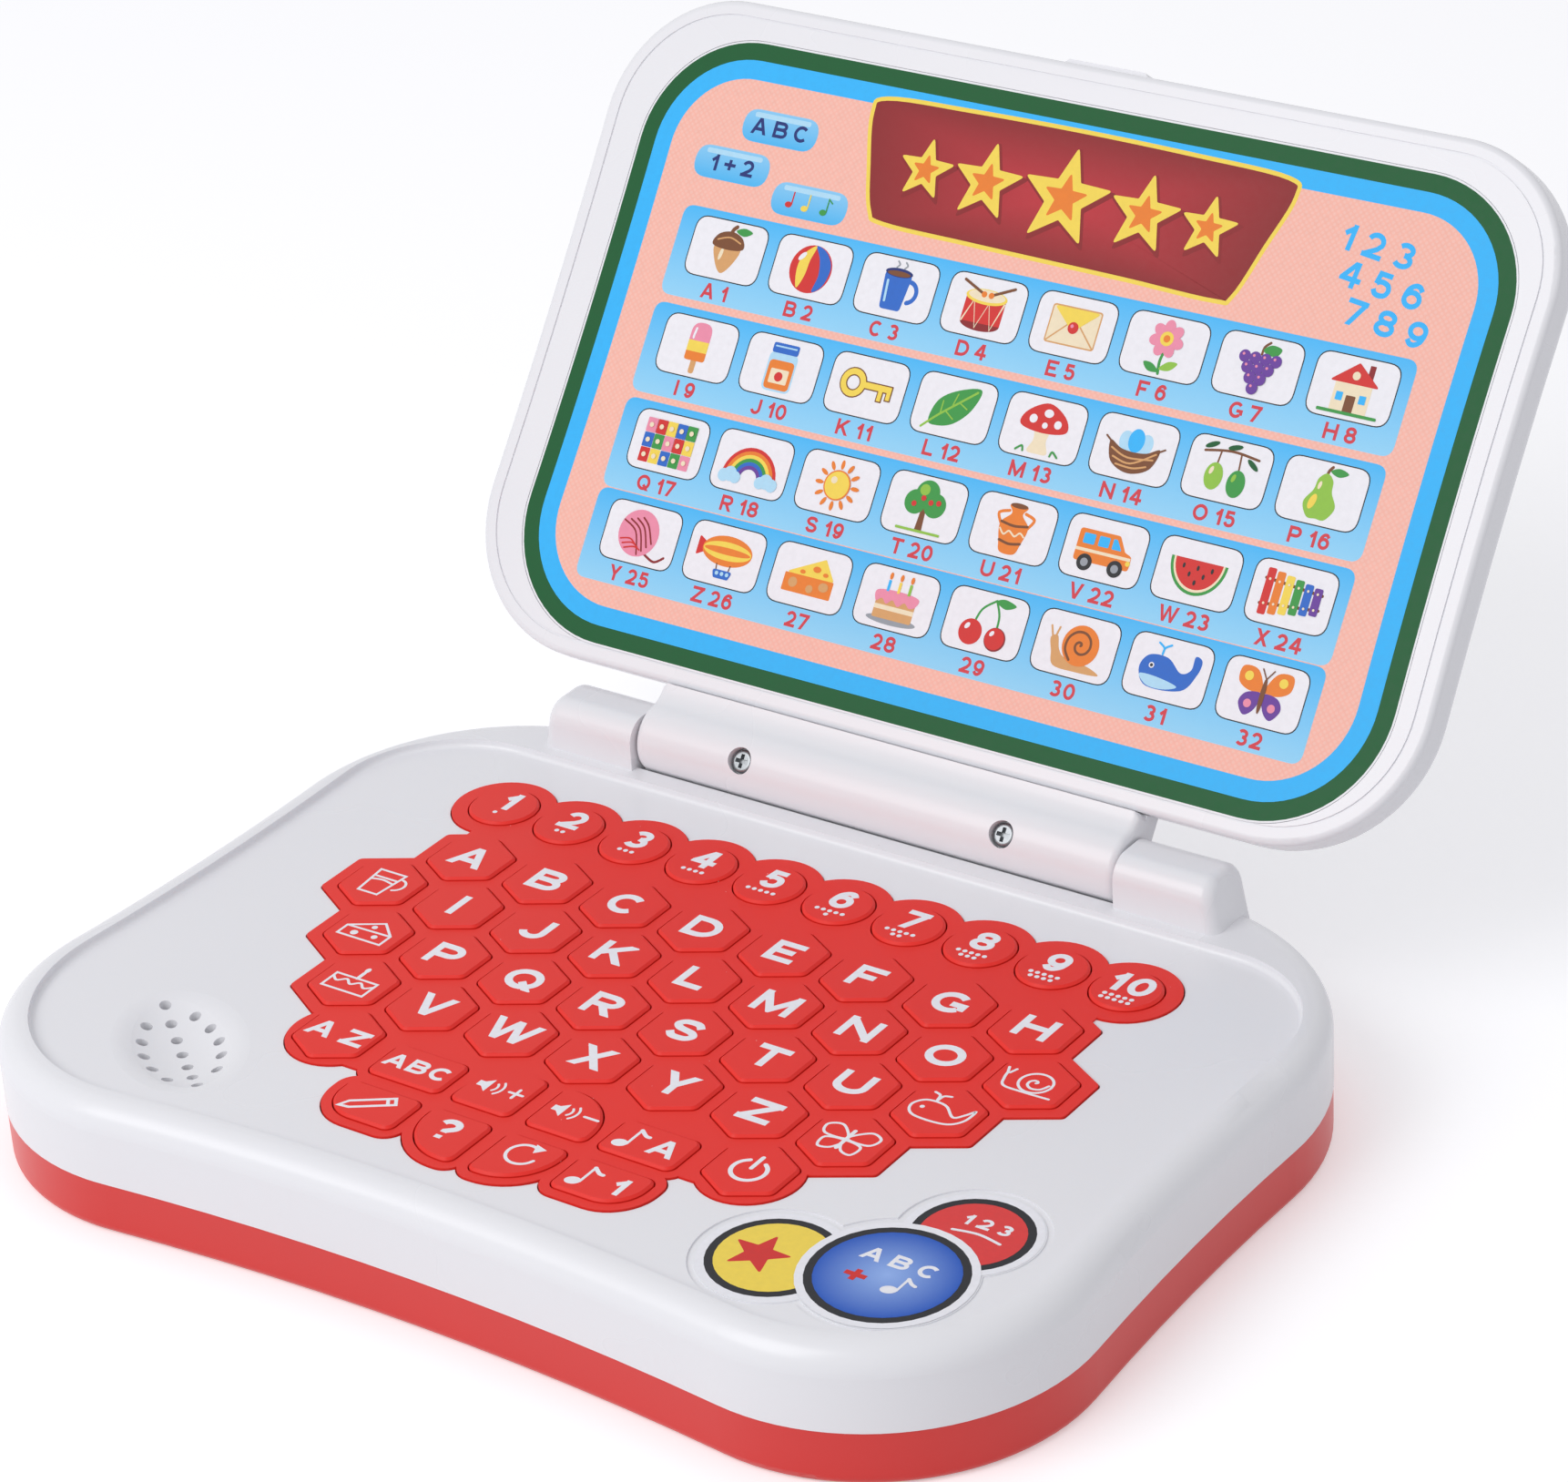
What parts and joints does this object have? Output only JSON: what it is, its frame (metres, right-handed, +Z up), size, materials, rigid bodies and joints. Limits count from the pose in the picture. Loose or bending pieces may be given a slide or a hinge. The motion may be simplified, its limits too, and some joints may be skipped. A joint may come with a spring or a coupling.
{
  "type": "toy laptop computer",
  "caption": "Toy laptop computer: a hinged lid with a printed picture sheet over a case with a rubber mat of letter and number keys, a speaker grille and a battery box.",
  "frame": {"origin": "on the flat underside of the lower case, midway between its sides and near its middle from front to back", "axes": "+X to the right as seen by a person at the keys, +Y from the keys towards the hinge, +Z up"},
  "size_m": [0.2248, 0.2466, 0.1494],
  "materials": {
    "white_abs": "gloss",
    "red_abs": "satin",
    "red_silicone": "satin, with white printed legends",
    "label_film": "gloss print",
    "printed_card": "satin print",
    "board_laminate": "satin",
    "speaker_metal": "satin",
    "zinc_steel": "zinc plated",
    "nickel_steel": "nickel plated",
    "cell_jacket": "gloss wrapper"
  },
  "bodies": {
    "base": {"upper_case": "white_abs", "lower_case": "red_abs", "label_badges": "label_film", "keypad_web": "red_silicone", "circuit_board": "board_laminate", "board_screws": "zinc_steel", "speaker": "speaker_metal", "battery_cells": "cell_jacket", "battery_contacts": "nickel_steel", "battery_door": "red_abs", "battery_door_screw": "zinc_steel", "case_screws": "zinc_steel"},
    "lid": {"lid_front": "white_abs", "lid_back": "white_abs", "printed_sheet": "printed_card", "hinge_cover": "white_abs", "hinge_screws": "zinc_steel"},
    "key_a_body": {"key_a": "red_silicone"},
    "key_b_body": {"key_b": "red_silicone"},
    "key_c_body": {"key_c": "red_silicone"},
    "key_d_body": {"key_d": "red_silicone"},
    "key_e_body": {"key_e": "red_silicone"},
    "key_f_body": {"key_f": "red_silicone"},
    "key_g_body": {"key_g": "red_silicone"},
    "key_h_body": {"key_h": "red_silicone"},
    "key_i_body": {"key_i": "red_silicone"},
    "key_j_body": {"key_j": "red_silicone"},
    "key_k_body": {"key_k": "red_silicone"},
    "key_l_body": {"key_l": "red_silicone"},
    "key_m_body": {"key_m": "red_silicone"},
    "key_n_body": {"key_n": "red_silicone"},
    "key_o_body": {"key_o": "red_silicone"},
    "key_p_body": {"key_p": "red_silicone"},
    "key_q_body": {"key_q": "red_silicone"},
    "key_r_body": {"key_r": "red_silicone"},
    "key_s_body": {"key_s": "red_silicone"},
    "key_t_body": {"key_t": "red_silicone"},
    "key_u_body": {"key_u": "red_silicone"},
    "key_v_body": {"key_v": "red_silicone"},
    "key_w_body": {"key_w": "red_silicone"},
    "key_x_body": {"key_x": "red_silicone"},
    "key_y_body": {"key_y": "red_silicone"},
    "key_z_body": {"key_z": "red_silicone"},
    "key_1_body": {"key_1": "red_silicone"},
    "key_2_body": {"key_2": "red_silicone"},
    "key_3_body": {"key_3": "red_silicone"},
    "key_4_body": {"key_4": "red_silicone"},
    "key_5_body": {"key_5": "red_silicone"},
    "key_6_body": {"key_6": "red_silicone"},
    "key_7_body": {"key_7": "red_silicone"},
    "key_8_body": {"key_8": "red_silicone"},
    "key_9_body": {"key_9": "red_silicone"},
    "key_10_body": {"key_10": "red_silicone"},
    "key_power_body": {"key_power": "red_silicone"},
    "key_volume_up_body": {"key_volume_up": "red_silicone"},
    "key_volume_down_body": {"key_volume_down": "red_silicone"},
    "picture_keys_body": {"picture_keys": "red_silicone"},
    "mode_keys_body": {"mode_keys": "red_silicone"},
    "song_keys_body": {"song_keys": "red_silicone"}
  },
  "joints": [
    {"name": "lid_hinge", "type": "hinge", "parent": "base", "child": "lid", "pos_m": [-0.001, 0.0742, 0.0313], "axis": [1, 0, 0], "range_deg": [-9, 125.9]},
    {"name": "key_a_press", "type": "slide", "parent": "base", "child": "key_a_body", "axis": [0, 0, 1], "range_m": [-0.0008, 0], "stiffness_N_per_m": 1250},
    {"name": "key_b_press", "type": "slide", "parent": "base", "child": "key_b_body", "axis": [0, 0, 1], "range_m": [-0.0008, 0], "stiffness_N_per_m": 1250},
    {"name": "key_c_press", "type": "slide", "parent": "base", "child": "key_c_body", "axis": [0, 0, 1], "range_m": [-0.0008, 0], "stiffness_N_per_m": 1250},
    {"name": "key_d_press", "type": "slide", "parent": "base", "child": "key_d_body", "axis": [0, 0, 1], "range_m": [-0.0008, 0], "stiffness_N_per_m": 1250},
    {"name": "key_e_press", "type": "slide", "parent": "base", "child": "key_e_body", "axis": [0, 0, 1], "range_m": [-0.0008, 0], "stiffness_N_per_m": 1250},
    {"name": "key_f_press", "type": "slide", "parent": "base", "child": "key_f_body", "axis": [0, 0, 1], "range_m": [-0.0008, 0], "stiffness_N_per_m": 1250},
    {"name": "key_g_press", "type": "slide", "parent": "base", "child": "key_g_body", "axis": [0, 0, 1], "range_m": [-0.0008, 0], "stiffness_N_per_m": 1250},
    {"name": "key_h_press", "type": "slide", "parent": "base", "child": "key_h_body", "axis": [0, 0, 1], "range_m": [-0.0008, 0], "stiffness_N_per_m": 1250},
    {"name": "key_i_press", "type": "slide", "parent": "base", "child": "key_i_body", "axis": [0, 0, 1], "range_m": [-0.0008, 0], "stiffness_N_per_m": 1250},
    {"name": "key_j_press", "type": "slide", "parent": "base", "child": "key_j_body", "axis": [0, 0, 1], "range_m": [-0.0008, 0], "stiffness_N_per_m": 1250},
    {"name": "key_k_press", "type": "slide", "parent": "base", "child": "key_k_body", "axis": [0, 0, 1], "range_m": [-0.0008, 0], "stiffness_N_per_m": 1250},
    {"name": "key_l_press", "type": "slide", "parent": "base", "child": "key_l_body", "axis": [0, 0, 1], "range_m": [-0.0008, 0], "stiffness_N_per_m": 1250},
    {"name": "key_m_press", "type": "slide", "parent": "base", "child": "key_m_body", "axis": [0, 0, 1], "range_m": [-0.0008, 0], "stiffness_N_per_m": 1250},
    {"name": "key_n_press", "type": "slide", "parent": "base", "child": "key_n_body", "axis": [0, 0, 1], "range_m": [-0.0008, 0], "stiffness_N_per_m": 1250},
    {"name": "key_o_press", "type": "slide", "parent": "base", "child": "key_o_body", "axis": [0, 0, 1], "range_m": [-0.0008, 0], "stiffness_N_per_m": 1250},
    {"name": "key_p_press", "type": "slide", "parent": "base", "child": "key_p_body", "axis": [0, 0, 1], "range_m": [-0.0008, 0], "stiffness_N_per_m": 1250},
    {"name": "key_q_press", "type": "slide", "parent": "base", "child": "key_q_body", "axis": [0, 0, 1], "range_m": [-0.0008, 0], "stiffness_N_per_m": 1250},
    {"name": "key_r_press", "type": "slide", "parent": "base", "child": "key_r_body", "axis": [0, 0, 1], "range_m": [-0.0008, 0], "stiffness_N_per_m": 1250},
    {"name": "key_s_press", "type": "slide", "parent": "base", "child": "key_s_body", "axis": [0, 0, 1], "range_m": [-0.0008, 0], "stiffness_N_per_m": 1250},
    {"name": "key_t_press", "type": "slide", "parent": "base", "child": "key_t_body", "axis": [0, 0, 1], "range_m": [-0.0008, 0], "stiffness_N_per_m": 1250},
    {"name": "key_u_press", "type": "slide", "parent": "base", "child": "key_u_body", "axis": [0, 0, 1], "range_m": [-0.0008, 0], "stiffness_N_per_m": 1250},
    {"name": "key_v_press", "type": "slide", "parent": "base", "child": "key_v_body", "axis": [0, 0, 1], "range_m": [-0.0008, 0], "stiffness_N_per_m": 1250},
    {"name": "key_w_press", "type": "slide", "parent": "base", "child": "key_w_body", "axis": [0, 0, 1], "range_m": [-0.0008, 0], "stiffness_N_per_m": 1250},
    {"name": "key_x_press", "type": "slide", "parent": "base", "child": "key_x_body", "axis": [0, 0, 1], "range_m": [-0.0008, 0], "stiffness_N_per_m": 1250},
    {"name": "key_y_press", "type": "slide", "parent": "base", "child": "key_y_body", "axis": [0, 0, 1], "range_m": [-0.0008, 0], "stiffness_N_per_m": 1250},
    {"name": "key_z_press", "type": "slide", "parent": "base", "child": "key_z_body", "axis": [0, 0, 1], "range_m": [-0.0008, 0], "stiffness_N_per_m": 1250},
    {"name": "key_1_press", "type": "slide", "parent": "base", "child": "key_1_body", "axis": [0, 0, 1], "range_m": [-0.0008, 0], "stiffness_N_per_m": 1250},
    {"name": "key_2_press", "type": "slide", "parent": "base", "child": "key_2_body", "axis": [0, 0, 1], "range_m": [-0.0008, 0], "stiffness_N_per_m": 1250},
    {"name": "key_3_press", "type": "slide", "parent": "base", "child": "key_3_body", "axis": [0, 0, 1], "range_m": [-0.0008, 0], "stiffness_N_per_m": 1250},
    {"name": "key_4_press", "type": "slide", "parent": "base", "child": "key_4_body", "axis": [0, 0, 1], "range_m": [-0.0008, 0], "stiffness_N_per_m": 1250},
    {"name": "key_5_press", "type": "slide", "parent": "base", "child": "key_5_body", "axis": [0, 0, 1], "range_m": [-0.0008, 0], "stiffness_N_per_m": 1250},
    {"name": "key_6_press", "type": "slide", "parent": "base", "child": "key_6_body", "axis": [0, 0, 1], "range_m": [-0.0008, 0], "stiffness_N_per_m": 1250},
    {"name": "key_7_press", "type": "slide", "parent": "base", "child": "key_7_body", "axis": [0, 0, 1], "range_m": [-0.0008, 0], "stiffness_N_per_m": 1250},
    {"name": "key_8_press", "type": "slide", "parent": "base", "child": "key_8_body", "axis": [0, 0, 1], "range_m": [-0.0008, 0], "stiffness_N_per_m": 1250},
    {"name": "key_9_press", "type": "slide", "parent": "base", "child": "key_9_body", "axis": [0, 0, 1], "range_m": [-0.0008, 0], "stiffness_N_per_m": 1250},
    {"name": "key_10_press", "type": "slide", "parent": "base", "child": "key_10_body", "axis": [0, 0, 1], "range_m": [-0.0008, 0], "stiffness_N_per_m": 1250},
    {"name": "key_power_press", "type": "slide", "parent": "base", "child": "key_power_body", "axis": [0, 0, 1], "range_m": [-0.0008, 0], "stiffness_N_per_m": 1250},
    {"name": "key_volume_up_press", "type": "slide", "parent": "base", "child": "key_volume_up_body", "axis": [0, 0, 1], "range_m": [-0.0008, 0], "stiffness_N_per_m": 1250},
    {"name": "key_volume_down_press", "type": "slide", "parent": "base", "child": "key_volume_down_body", "axis": [0, 0, 1], "range_m": [-0.0008, 0], "stiffness_N_per_m": 1250},
    {"name": "picture_keys_press", "type": "slide", "parent": "base", "child": "picture_keys_body", "axis": [0, 0, 1], "range_m": [-0.0008, 0], "stiffness_N_per_m": 1250},
    {"name": "mode_keys_press", "type": "slide", "parent": "base", "child": "mode_keys_body", "axis": [0, 0, 1], "range_m": [-0.0008, 0], "stiffness_N_per_m": 1250},
    {"name": "song_keys_press", "type": "slide", "parent": "base", "child": "song_keys_body", "axis": [0, 0, 1], "range_m": [-0.0008, 0], "stiffness_N_per_m": 1250}
  ]
}
